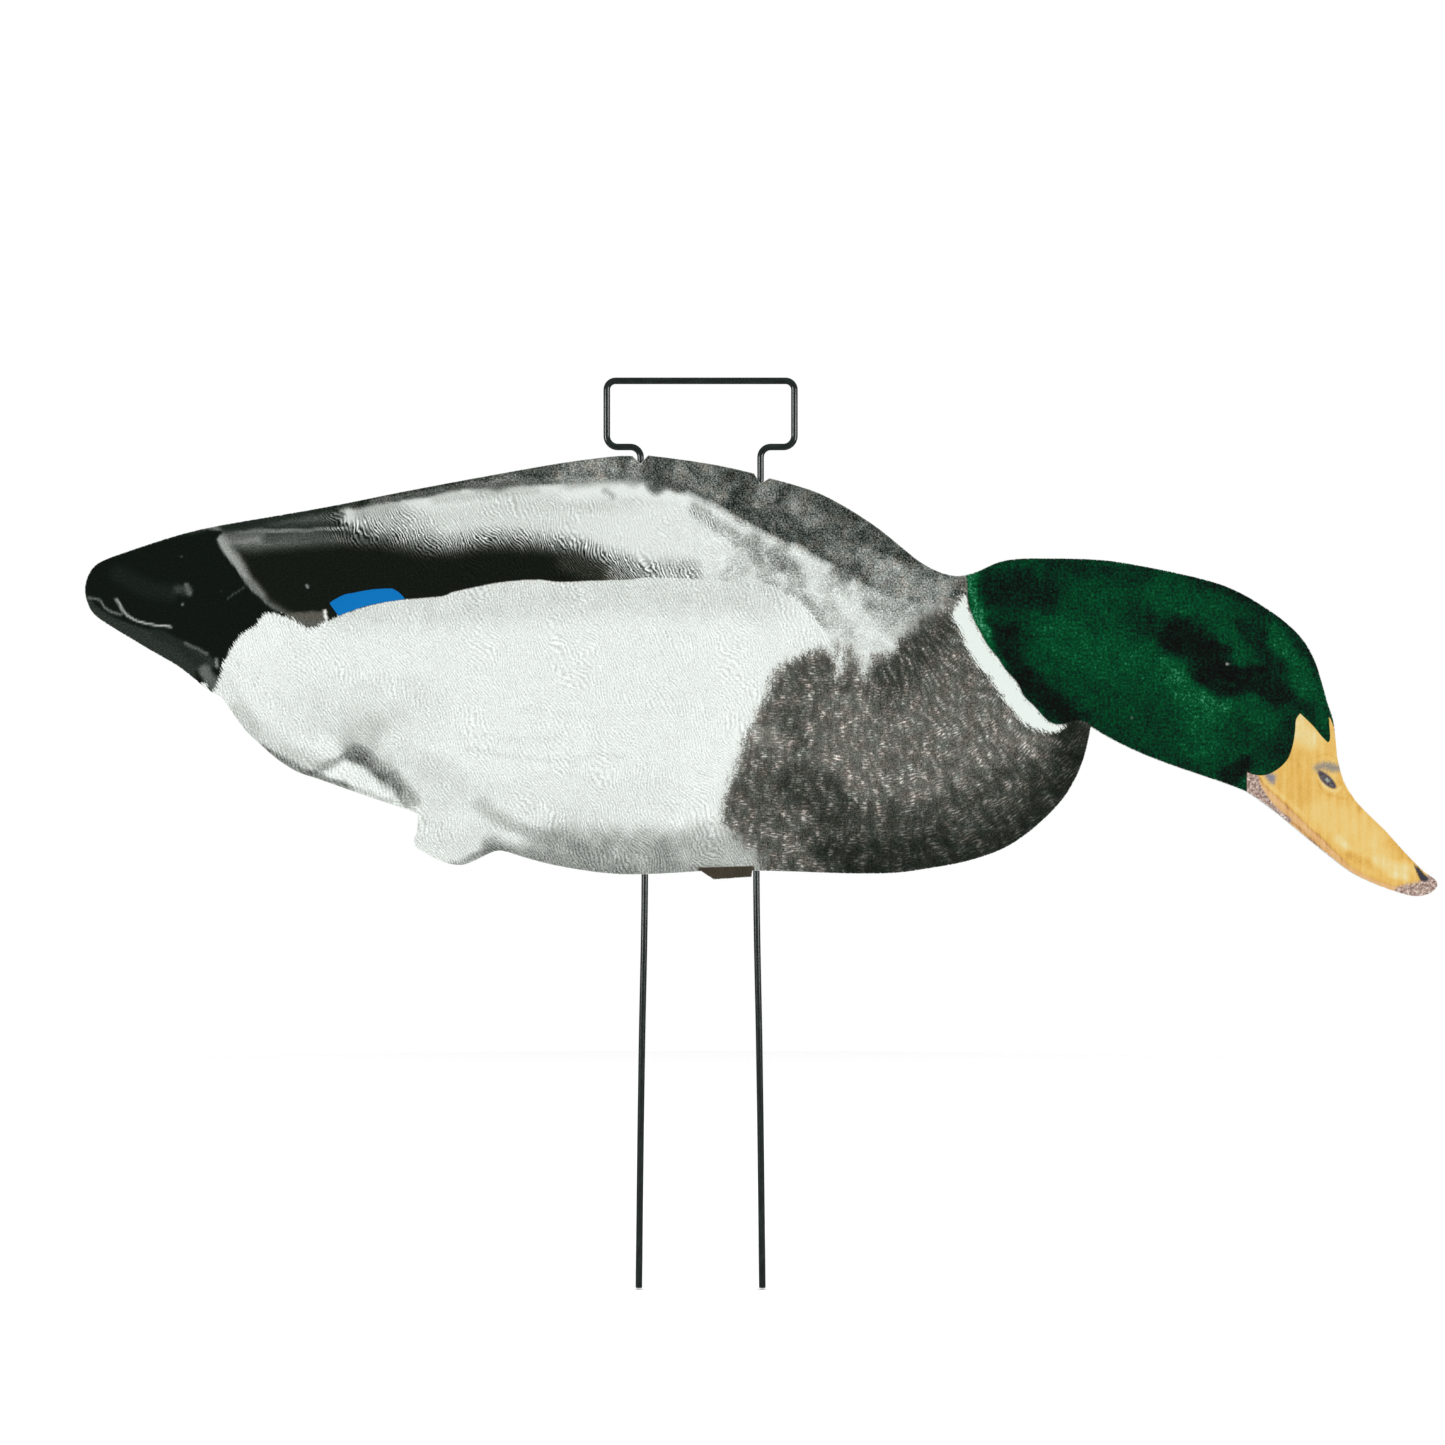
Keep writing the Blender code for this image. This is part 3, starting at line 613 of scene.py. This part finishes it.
def stakeRoute():
    # up one leg, out along its shoulder, up and over the handle, and down the same way on the other side
    leg = smoothLine([(out, height) for height, out in stake["legBow"]], steps=12)
    wide, top, low = wireHigh.x - wireRadius, wireHigh.z - wireRadius, stake["shoulder"]
    under, shoulderEnd, corner, middle = np.array([(leg[-1, 0], low), (wide, low), (wide, top), (0, top)])
    half = np.vstack([
        leg,
        roundedTurn(leg[-1], under, shoulderEnd, stake["innerRadius"]),
        roundedTurn(under, shoulderEnd, corner, stake["outerRadius"]),
        roundedTurn(shoulderEnd, corner, middle, stake["topRadius"]),
    ])
    return np.vstack([half * (-1, 1), half[::-1]])


def buildStake():
    # a circle carried along the route: ring i, side j is the route's point plus the radius in the direction j
    route = stakeRoute()
    ahead = np.gradient(route, axis=0)
    ahead /= np.hypot(*ahead.T)[:, None]
    # both tips get a small chamfer: one more ring just inside each end at full radius
    chamfer = stake["tipChamfer"]
    lowRing, highRing = route[:1] + ahead[:1] * chamfer, route[-1:] - ahead[-1:] * chamfer
    route = np.vstack([route[:1], lowRing, route[1:-1], highRing, route[-1:]])
    ahead = np.vstack([ahead[:1], ahead, ahead[-1:]])
    rows, sides = len(route), stake["sides"]
    radius = np.full((rows, 1, 1), wireRadius)
    radius[[0, -1]] -= chamfer
    angle = np.linspace(0, 2 * math.pi, sides, endpoint=False)
    across = np.stack([-ahead[:, 1], np.zeros(rows), ahead[:, 0]], 1)[:, None]
    spoke = np.cos(angle)[:, None] * across + np.sin(angle)[:, None] * np.array([0, 1, 0])
    rings = np.insert(route, 1, 0, 1)[:, None] + radius * spoke
    index = np.arange(rows * sides).reshape(rows, sides)
    nextSide = np.roll(index, -1, 1)
    quads = np.stack([index[:-1], nextSide[:-1], nextSide[1:], index[1:]], 2).reshape(-1, 4)
    faces = [*quads.tolist(), index[0][::-1].tolist(), index[-1].tolist()]
    piece = newPiece("stake_wire", rings.reshape(-1, 3) * mm, faces)
    for cap in (-2, -1):
        piece.data.polygons[cap].use_smooth = False
    # the coating's pattern follows the wire: the cosine and sine round it, and the mm along it
    run = np.concatenate([[0], np.cumsum(np.hypot(*np.diff(route, axis=0).T))])
    along = np.stack([np.tile(np.cos(angle), rows), np.tile(np.sin(angle), rows), np.repeat(run, sides)], 1)
    attribute = piece.data.attributes.new("wireRun", "FLOAT_VECTOR", "POINT")
    attribute.data.foreach_set("vector", along.astype(np.float32).ravel())
    return piece


stakeWire = buildStake()
print("stake: wire built,", len(stakeWire.data.polygons), "faces")


# ---- materials


def linear(hexColour):
    # an sRGB hex colour as linear red, green, blue and alpha
    share = np.array([int(hexColour[i:i + 2], 16) for i in (1, 3, 5)]) / 255
    return (*np.where(share <= 0.04045, share / 12.92, ((share + 0.055) / 1.055) ** 2.4).tolist(), 1.0)


def feed(node, inputs):
    # sets each of these inputs to its value, or links it to its socket
    for socket, value in inputs.items():
        if isinstance(value, bpy.types.NodeSocket):
            node.id_data.links.new(value, node.inputs[socket])
        else:
            node.inputs[socket].default_value = value


def addNode(tree, kind, inputs=None, out=0, stops=(), **settings):
    # adds a node, sets it, feeds its inputs, gives a colour ramp its (position, hex) stops, and gives back
    # one of its outputs
    node = tree.nodes.new("ShaderNode" + kind)
    for name, value in settings.items():
        setattr(node, name, value)
    feed(node, inputs or {})
    if stops:
        elements = node.color_ramp.elements
        while len(elements) < len(stops):
            elements.new(0.5)
        for element, (position, colour) in zip(elements, stops):
            element.position = position
            element.color = linear(colour)
    return node.outputs[out]


def startMaterial(name):
    material = bpy.data.materials.new(name)
    material.use_nodes = True
    return material, material.node_tree, material.node_tree.nodes["Principled BSDF"]


def chain(values, operation):
    # joins values and sockets by one sum after another, on the tree of the first socket among them
    tree = next(value.id_data for value in values if isinstance(value, bpy.types.NodeSocket))
    result = values[0]
    for value in values[1:]:
        result = addNode(tree, "Math", {0: result, 1: value}, operation=operation)
    return result


def total(*values):
    return chain(values, "ADD")


def product(*values):
    return chain(values, "MULTIPLY")


def centred(noise, gain):
    # a noise about 0, times a gain
    return product(total(noise, -0.5), gain)


def inkOver(below, ink, edge, fray, soft):
    # one ink laid over another where its edge distance plus a fray passes zero, over a soft edge in mm. An
    # ink that is a colour mixes as colour, and one that is a tone mixes as a number.
    tree = edge.id_data
    cover = addNode(tree, "MapRange", {"Value": total(edge, fray), "From Min": -soft, "From Max": soft},
                    interpolation_type="SMOOTHSTEP")
    tone = isinstance(ink, float) or getattr(ink, "type", "") == "VALUE"
    if tone:
        return addNode(tree, "Mix", {0: cover, 2: below, 3: ink})
    return addNode(tree, "Mix", {0: cover, 6: below, 7: ink}, out=2, data_type="RGBA")


# Each noise of the print: the places that it is read at, its size, its detail and its roughness. A size is a
# scale per mm, or the mm that one grain of it takes in x, y and z, and its turn from upright in degrees.
grain = {
    "speckle": ("flat", 1.3, 2.0, 0.7),          # halftone grain, drawn a little coarser than it is
    "velvet": ("flat", 0.8, 3.0, 0.8),           # the coarser, stronger grain of the head
    "glitter": ("flat", 0.7, 4.0, 0.85),         # its pale glints
    "skin": ("flat", 0.75, 3.0, 0.75),           # the mottled skin at the bill's chin and tip
    "cast": ("flat", 0.16, 4.0, 0.75),           # how the greys drift from blue to brown
    "blotch": ("wandering", 0.16, 3.0, 0.6),     # feather groups, about 6 mm across
    "barbBreak": ("wandering", (2.2, 1, 5.0, -28), 1.5, 0.55),  # where the fine bars fade out
    "hair": ("flat", (0.55, 1, 4.5, -35), 2.0, 0.6),            # feather tips where two patches meet
    "upright": ("flat", (1.6, 1, 8, 0), 2.0, 0.6),              # upright tufts
    "streak": ("flat", (1.9, 1, 16, 0), 1.5, 0.5),              # the bill's streaks along the flutes
    "dash": ("rippled", (3.0, 0.72, 1, 0), 1.0, 0.5),           # one pale dash of the breast
    "clump": ("bentRipples", (4.0, 8.0, 1, 0), 2.0, 0.55),      # a group of them
}
barring = {
    "pitch": 1.35,          # mm between the dark bars on the flank and the scapulars
    "turn": -28,            # degrees from upright
    "waves": {"Distortion": 7.0, "Detail": 2.0, "Detail Scale": 1.6, "Detail Roughness": 0.6},
    "wander": 22,           # mm that the barring drifts aside
    "rippleWander": 14,     # mm that the breast's ripples do
    "driftScale": 0.035,    # per mm, of both
    "back": 0.85,           # how far the bars shift the tone
    "backFocus": 2.8,       # how closely they keep to the tones in between
    "backPale": 0.035,      # how much of them shows in the palest tones
    "flank": 0.19,
}
flutes = {
    "pitch": 4.54,          # mm, as the sheet's webs
    "head": 0.012,          # how far they shift the tone
    "bill": 0.02,
    "relief": 0.5,          # how far they stand out, beside the speckle
}


def inkMaterial():
    # screen-printed polypropylene: dried ink is flat and dusty, so blacks stay deep and its gloss is only a
    # broad dull sheen, and the flutes read faintly through it
    material, tree, shader = startMaterial("screen_printed_polypropylene")
    put = partial(addNode, tree)
    place = put("TexCoord", out="Object")
    flat = put("Mapping", {"Vector": place, "Scale": (1000, 0, 1000)})  # millimetres on the sheet's plane
    x = put("SeparateXYZ", {0: flat}, out=0)
    drift = put("TexNoise", {"Vector": flat, "Scale": barring["driftScale"], "Detail": 1.0}, out="Color")
    drift = put("VectorMath", {0: drift, 1: (0.5, 0.5, 0.5)}, operation="SUBTRACT")

    def field(name):
        return put("Attribute", attribute_name=name, out="Fac")

    def pushed(place, push):
        aside = put("VectorMath", {0: drift, 1: push}, operation="MULTIPLY")
        return put("VectorMath", {0: place, 1: aside}, operation="ADD")

    def mixed(*bases, **gains):
        # each of these noises about 0 times its gain, and any bases, summed
        return total(*(centred(noise[name], gain) for name, gain in gains.items()), *bases)

    def lay(below, part, ink):
        return inkOver(below, ink, field(part + "Edge"), *borders[part])

    rippled = put("CombineXYZ", {0: field("rippleRun"), 1: field("rippleDepth")})
    wander, rippleWander = barring["wander"], barring["rippleWander"]
    places = {
        "flat": flat,
        "wandering": pushed(flat, (wander, 0, wander)),
        "rippled": rippled,
        "bentRipples": pushed(rippled, (rippleWander, rippleWander, 0)),
    }
    noise = {}
    for name, (where, size, detail, roughness) in grain.items():
        place = places[where]
        if isinstance(size, tuple):
            turn = (0, math.radians(size[3]), 0)
            place = put("Mapping", {"Vector": place, "Rotation": turn, "Scale": size[:3]},
                        vector_type="TEXTURE")
            size = 1.0
        noise[name] = put("TexNoise", {"Vector": place, "Scale": size, "Detail": detail,
                                       "Roughness": roughness})

    # the fine bars are waves across the turned places: at a scale of pi / 10 a wave is 1 mm long
    turn = (0, math.radians(barring["turn"]), 0)
    turned = put("Mapping", {"Vector": places["wandering"], "Rotation": turn}, vector_type="TEXTURE")
    waves = put("TexWave", {"Vector": turned, "Scale": math.pi / 10 / barring["pitch"], **barring["waves"]},
                out="Fac")
    flute = put("Math", {0: product(x, 2 * math.pi / flutes["pitch"])}, operation="COSINE")

    backTone, flankTone, breastTone = field("backTone"), field("flankTone"), field("breastTone")
    ranges = {  # what is read, the values that it runs between, and what those become
        "onScapulars": (field("barredEdge"), -3, 6, 0, 1),       # mm inside an outline
        "offMantle": (field("mantleEdge"), -1.5, -7, 0, 1),
        "onMantle": (field("mantleEdge"), -2, 3, 0, 1),
        "onShoulder": (x, -25, 15, 0, 1),                        # mm along the bird
        "rumpFray": (x, -150, -172, 0.8, 8),
        "chestFray": (x, -10, 45, 0.5, 8),
        "flankGrain": (flankTone, 0.92, 0.5, 0.8, 1.3),          # tones
        "breastGrain": (breastTone, 0.15, 0.42, 0.4, 1),
        "bars": (noise["barbBreak"], 0.38, 0.6, 0.3, 1.15),      # noises
        "dashes": (noise["dash"], 0.5, 0.64, 0, 1),
        "dashGroups": (noise["clump"], 0.46, 0.66, 0, 0.4),
        "glitter": (noise["glitter"], 0.6, 0.72, 0, 0.6),
    }
    sockets = ("Value", "From Min", "From Max", "To Min", "To Max")
    share = {name: put("MapRange", dict(zip(sockets, row))) for name, row in ranges.items()}

    borders = {  # how each part's border frays, and how soft it is, in mm
        "mantle": (0.0, 2.0),
        "wing": (product(backTone, -20.0), 5.0),
        "flank": (total(product(mixed(hair=1.0), share["rumpFray"]),
                        product(mixed(speckle=1.0), share["chestFray"])), 0.4),
        "breast": (mixed(upright=7.0, speckle=20.0, blotch=9.0), 2.4),
        "legTab": (mixed(speckle=0.6), 0.3),
        "ring": (mixed(0.1, speckle=5.0, hair=8.0), 1.0),
        "speculum": (mixed(speckle=0.5), 0.18),
        "head": (mixed(speckle=1.4, hair=0.9), 0.35),
        "bill": (0.0, 0.16),
        "mandible": (mixed(speckle=0.6), 0.5),
        "chinSkin": (mixed(speckle=1.0), 0.4),
        "billTip": (mixed(speckle=4.0), 1.2),
        "nail": (mixed(speckle=1.4), 0.5),
        "nostrilSmear": (mixed(speckle=7.0), 1.5),
        "cornerSmear": (mixed(speckle=5.0), 1.5),
        "nostril": (mixed(speckle=1.0), 0.5),
        "rim": (mixed(0.1, speckle=2.6), 0.25),
    }

    # back, wing and tail: barred across the scapulars where the tone is in between, grainy elsewhere
    between = product(backTone, put("Math", {0: 1.0, 1: backTone}, operation="SUBTRACT"), 4.0)
    bars = product(centred(waves, 1.0), share["bars"])
    inBetween = put("Math", {0: between, 1: barring["backFocus"]}, operation="POWER")
    barDepth = total(inBetween, product(backTone, barring["backPale"]))
    mottled = put("Math", {0: share["onMantle"], 1: share["onShoulder"]}, operation="MAXIMUM")
    body = total(
        backTone,
        product(bars, barring["back"], barDepth, share["onScapulars"], share["offMantle"]),
        product(mixed(blotch=0.75, speckle=1.0, hair=0.4), between, mottled),
        product(mixed(speckle=0.5), total(between, 0.1)),
    )
    # flank: near-white with fine faint bars, grainier in its shaded folds
    flankGrain = mixed(product(bars, barring["flank"]), speckle=0.65, blotch=0.1)
    body = lay(body, "flank", total(flankTone, product(flankGrain, share["flankGrain"])))
    # breast: warm grey in upright clumps, with pale dashes that follow its curve, and a little darker between
    dashes = product(share["dashes"], share["dashGroups"])
    darker = -0.06
    breastGrain = mixed(dashes, darker, speckle=0.8, dash=0.2, clump=0.36)
    body = lay(body, "breast", total(breastTone, product(breastGrain, share["breastGrain"])))
    body = lay(body, "legTab", mixed(0.27, speckle=0.15, blotch=0.1))
    body = lay(body, "ring", mixed(0.925, speckle=0.06))
    greys = put("ValToRGB", {0: body}, stops=[
        (0.0, "#040806"), (0.07, "#0d140f"), (0.12, "#171f19"), (0.2, "#2c332d"), (0.3, "#484d48"),
        (0.42, "#676b66"), (0.56, "#8b8f8a"), (0.7, "#adb2ad"), (0.85, "#d4d9d4"), (1.0, "#f9fffb")])

    # tint: the mantle drifts between blue and brown, the dark fringe of the wing is brown and fades where the
    # tone is pale, the breast is warm and the leg much more so
    white = linear("#ffffff")
    cool = put("ValToRGB", {0: noise["cast"]}, stops=[(0.36, "#f2f9fc"), (0.5, "#ffffff"), (0.62, "#fff4ef")])
    warm = put("ValToRGB", {0: noise["cast"]}, stops=[(0.36, "#f6f6f3"), (0.5, "#fff5f2"), (0.64, "#ffe8e4")])
    tint = white
    for part, ink in (("mantle", cool), ("wing", linear("#fff0e8")), ("flank", white), ("breast", warm),
                      ("legTab", linear("#ffdccb")), ("ring", linear("#fdfffe"))):
        tint = lay(tint, part, ink)
    colour = put("VectorMath", {0: tint, 1: greys}, operation="MULTIPLY")
    colour = lay(colour, "speculum", linear("#0a72ba"))

    # head: green velvet, black in its folds, whose tones stand further apart than they are drawn
    middle, contrast = 0.42, 1.3
    folds = product(total(field("headTone"), -middle), contrast)
    headTone = mixed(folds, product(flute, flutes["head"]), share["glitter"], middle - 0.04,
                     velvet=1.9, blotch=0.5, upright=0.2)
    green = put("ValToRGB", {0: headTone}, stops=[
        (0.0, "#0d0c0c"), (0.18, "#0b1813"), (0.34, "#052a1b"), (0.5, "#003c20"), (0.68, "#004c26"),
        (0.85, "#0c6139"), (1.0, "#4a9a74")])
    colour = lay(colour, "head", green)

    # bill: yellow horn with streaks along the flutes, an orange lower edge, mottled skin at chin and tip
    billTone = mixed(field("billTone"), product(flute, flutes["bill"]), -0.02,
                     streak=0.24, speckle=0.25, blotch=0.2)
    horn = put("ValToRGB", {0: billTone}, stops=[
        (0.0, "#3a3b46"), (0.2, "#65564e"), (0.38, "#b4834c"), (0.54, "#dcae58"), (0.66, "#e4c072"),
        (0.8, "#e3cb8a"), (0.9, "#e8dcb0"), (1.0, "#f4f0dc")])
    orange = put("ValToRGB", {0: billTone}, stops=[
        (0.0, "#3f3233"), (0.25, "#7e5a44"), (0.5, "#d4a46a"), (0.75, "#e8c692"), (1.0, "#f0e4d0")])
    skin = put("ValToRGB", {0: noise["skin"]}, stops=[
        (0.3, "#4b3a38"), (0.44, "#8f776e"), (0.54, "#b9a196"), (0.66, "#e9dcd0")])
    dark = put("ValToRGB", {0: noise["speckle"]}, stops=[(0.36, "#332f35"), (0.6, "#6d656a")])
    for part, ink in (("mandible", orange), ("chinSkin", skin), ("billTip", skin),
                      ("nail", linear("#3c3c44")), ("nostrilSmear", linear("#908a80")),
                      ("cornerSmear", linear("#83838f")), ("nostril", dark)):
        horn = lay(horn, part, ink)
    colour = lay(colour, "bill", horn)

    # bare white sheet shows in the flecks, and where the inks break up along the cut
    for bare, sheetColour in ((field("fleck"), "#c4d2ca"), (lay(1.0, "rim", 0.0), "#e3e8e4")):
        colour = put("Mix", {0: bare, 6: colour, 7: linear(sheetColour)}, out=2, data_type="RGBA")
    relief = mixed(product(flute, flutes["relief"]), speckle=0.35)
    feed(shader, {
        "Base Color": colour,
        "Roughness": mixed(0.52, speckle=0.12, blotch=0.08),
        "IOR": 1.49,
        "Specular IOR Level": 0.05,
        "Normal": put("Bump", {"Height": relief, "Distance": 0.00003, "Strength": 0.6}),
    })
    return material


extrusion = {
    "dieLines": (2600, 2600, 18),   # per metre: lines 0.4 mm apart along the flutes, coarser than real ones
    "cloud": 60.0,                  # per metre: milky clouding
}


def sheetMaterial():
    # extruded polypropylene: milky white with a satin sheen, and fine die lines drawn along the flutes
    material, tree, shader = startMaterial("extruded_polypropylene")
    put = partial(addNode, tree)
    place = put("TexCoord", out="Object")
    drawn = put("Mapping", {"Vector": place, "Scale": extrusion["dieLines"]})
    dieLines = put("TexNoise", {"Vector": drawn, "Scale": 1.0, "Detail": 2.0})
    cloud = put("TexNoise", {"Vector": place, "Scale": extrusion["cloud"], "Detail": 2.0})
    milky = put("ValToRGB", {0: total(dieLines, centred(cloud, 0.5))},
                stops=[(0.3, "#d5dad6"), (0.55, "#e3e7e4"), (0.8, "#eff2f0")])
    feed(shader, {
        "Base Color": milky,
        "Roughness": total(centred(dieLines, 0.2), 0.42),
        "IOR": 1.49,
        "Normal": put("Bump", {"Height": dieLines, "Distance": 0.00004, "Strength": 0.5}),
    })
    return material


coating = {
    "runs": (1.2, 1.2, 0.16),       # how often a run comes round the wire, and per mm along it
    "scuffs": (3.5, 3.5, 0.7),
    "bareTip": (0.0006, 0.0003),    # metres up the wire between which the enamel ends
}


def wireMaterial():
    # dip-coated steel wire: thin dark green enamel with a bright gloss, small runs in it, and bare steel at
    # the cut tips
    material, tree, shader = startMaterial("dipped_enamel_on_steel_wire")
    put = partial(addNode, tree)
    along = put("Attribute", attribute_name="wireRun", out="Vector")
    runPlace = put("Mapping", {"Vector": along, "Scale": coating["runs"]})
    runs = put("TexNoise", {"Vector": runPlace, "Scale": 1.0, "Detail": 2.0})
    scuffPlace = put("Mapping", {"Vector": along, "Scale": coating["scuffs"]})
    scuff = put("TexNoise", {"Vector": scuffPlace, "Scale": 1.0, "Detail": 4.0, "Roughness": 0.7})
    colour = put("ValToRGB", {0: runs}, stops=[(0.3, "#0c1412"), (0.55, "#16221e"), (0.75, "#22302b")])
    worn = put("MapRange", {"Value": scuff, "From Min": 0.66, "From Max": 0.74, "To Max": 0.5})
    height = put("SeparateXYZ", {0: put("TexCoord", out="Object")}, out=2)
    enamelEnds, steelStarts = coating["bareTip"]
    bare = put("MapRange", {"Value": height, "From Min": enamelEnds, "From Max": steelStarts})
    for cover, below in ((worn, "#4a544f"), (bare, "#9a9c9c")):
        colour = put("Mix", {0: cover, 6: colour, 7: linear(below)}, out=2, data_type="RGBA")
    relief = total(runs, product(scuff, 0.25))
    feed(shader, {
        "Base Color": colour,
        "Metallic": bare,
        "Roughness": total(centred(scuff, 0.2), product(bare, 0.2), 0.17),
        "IOR": 1.6,
        "Specular IOR Level": 0.9,
        "Normal": put("Bump", {"Height": relief, "Distance": 0.00006, "Strength": 0.5}),
    })
    return material


ink = inkMaterial()
for film in (nearPrint, farPrint):
    film.data.materials.append(ink)
    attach(film, "silhouette")

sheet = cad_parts["fluted_panel"]
sheet.data.materials.clear()
sheet.data.materials.append(sheetMaterial())

stakeWire.data.materials.append(wireMaterial())
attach(stakeWire, "stake")
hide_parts("wire_stake")
print("materials done")


# ---- studio: pale floor, soft light, and a long lens square on to the sheet

studio = {
    "floorRadius": 1.25,
    "floorLevel": -0.0006,
    "fibre": 300.0,         # per metre: paper fibre of the floor, drawn much coarser than it is
    "skyStrength": 0.4,
    "skyInGloss": 0.12,
    "lens": 95.0,
    "sensor": 36.0,
    "frameWidth": 0.653,    # metres from side to side of the view, at the sheet
    "aim": (0.0099, 0.0, 0.2555),
    "lights": [  # place, width, height, watts, whether gloss shows it
        ((0.0, 0.0, 2.2), 2.4, 2.4, 44.0, False),
        ((-1.25, -0.95, 0.34), 0.7, 0.5, 5.3, True),
        ((1.25, -0.95, 0.34), 0.7, 0.5, 5.3, True),
        ((-1.25, 1.1, 0.75), 0.5, 1.5, 6.0, False),
        ((1.25, 1.1, 0.75), 0.5, 1.5, 6.0, False),
    ],
    "lightsAim": (0.0, 0.0, 0.3),
}


def buildFloor():
    # a disc: points at even turns round a circle
    turn = np.linspace(0, 2 * math.pi, 96, endpoint=False)
    rim = np.stack([np.cos(turn), np.sin(turn)], 1) * studio["floorRadius"]
    corners = np.insert(rim, 2, studio["floorLevel"], 1)
    floor = newPiece("studio_floor", corners, [list(range(len(corners)))], smooth=False)
    floor.visible_glossy = False  # so that the wire's edges stay dark
    material, tree, shader = startMaterial("matt_white_paper")
    place = addNode(tree, "TexCoord", out="Object")
    fibre = addNode(tree, "TexNoise", {"Vector": place, "Scale": studio["fibre"], "Detail": 2.0})
    paper = addNode(tree, "ValToRGB", {0: fibre}, stops=[(0.2, "#fbfbfb"), (0.8, "#fefefe")])
    feed(shader, {"Base Color": paper, "Roughness": 0.9, "IOR": 1.5})
    floor.data.materials.append(material)


def buildLight():
    # seen directly the sky is paper white, it lights the object more dimly than that, and gloss shows it
    # dimmer still
    world = bpy.data.worlds.new("white_studio")
    world.use_nodes = True
    tree = world.node_tree
    background = tree.nodes["Background"]
    direct = addNode(tree, "LightPath", out="Is Camera Ray")
    mirrored = addNode(tree, "LightPath", out="Is Glossy Ray")
    strength = addNode(tree, "MapRange", {"Value": mirrored, "To Min": studio["skyStrength"],
                                          "To Max": studio["skyInGloss"]})
    strength = addNode(tree, "MapRange", {"Value": direct, "To Min": strength, "To Max": 1.0})
    feed(background, {"Color": (1, 1, 1, 1), "Strength": strength})
    bpy.context.scene.world = world

    for number, (place, width, height, watts, inGloss) in enumerate(studio["lights"]):
        data = bpy.data.lights.new(f"softbox_{number}", "AREA")
        data.shape = "RECTANGLE"
        data.size, data.size_y, data.energy = width, height, watts
        softbox = bpy.data.objects.new(data.name, data)
        softbox.location = place
        softbox.visible_glossy = inGloss
        aim = Vector(studio["lightsAim"]) - Vector(place)
        softbox.rotation_euler = aim.to_track_quat("-Z", "Y").to_euler()
        bpy.context.scene.collection.objects.link(softbox)


def buildCamera():
    data = bpy.data.cameras.new("camera")
    data.lens, data.sensor_width = studio["lens"], studio["sensor"]
    data.clip_end = 200
    camera = bpy.data.objects.new("camera", data)
    distance = studio["frameWidth"] * studio["lens"] / studio["sensor"]
    camera.location = Vector(studio["aim"]) - Vector((0, distance, 0))
    camera.rotation_euler = (math.radians(90), 0, 0)
    bpy.context.scene.collection.objects.link(camera)
    bpy.context.scene.camera = camera
    bpy.context.scene.view_settings.view_transform = "Standard"


buildFloor()
buildLight()
buildCamera()
print("studio done")
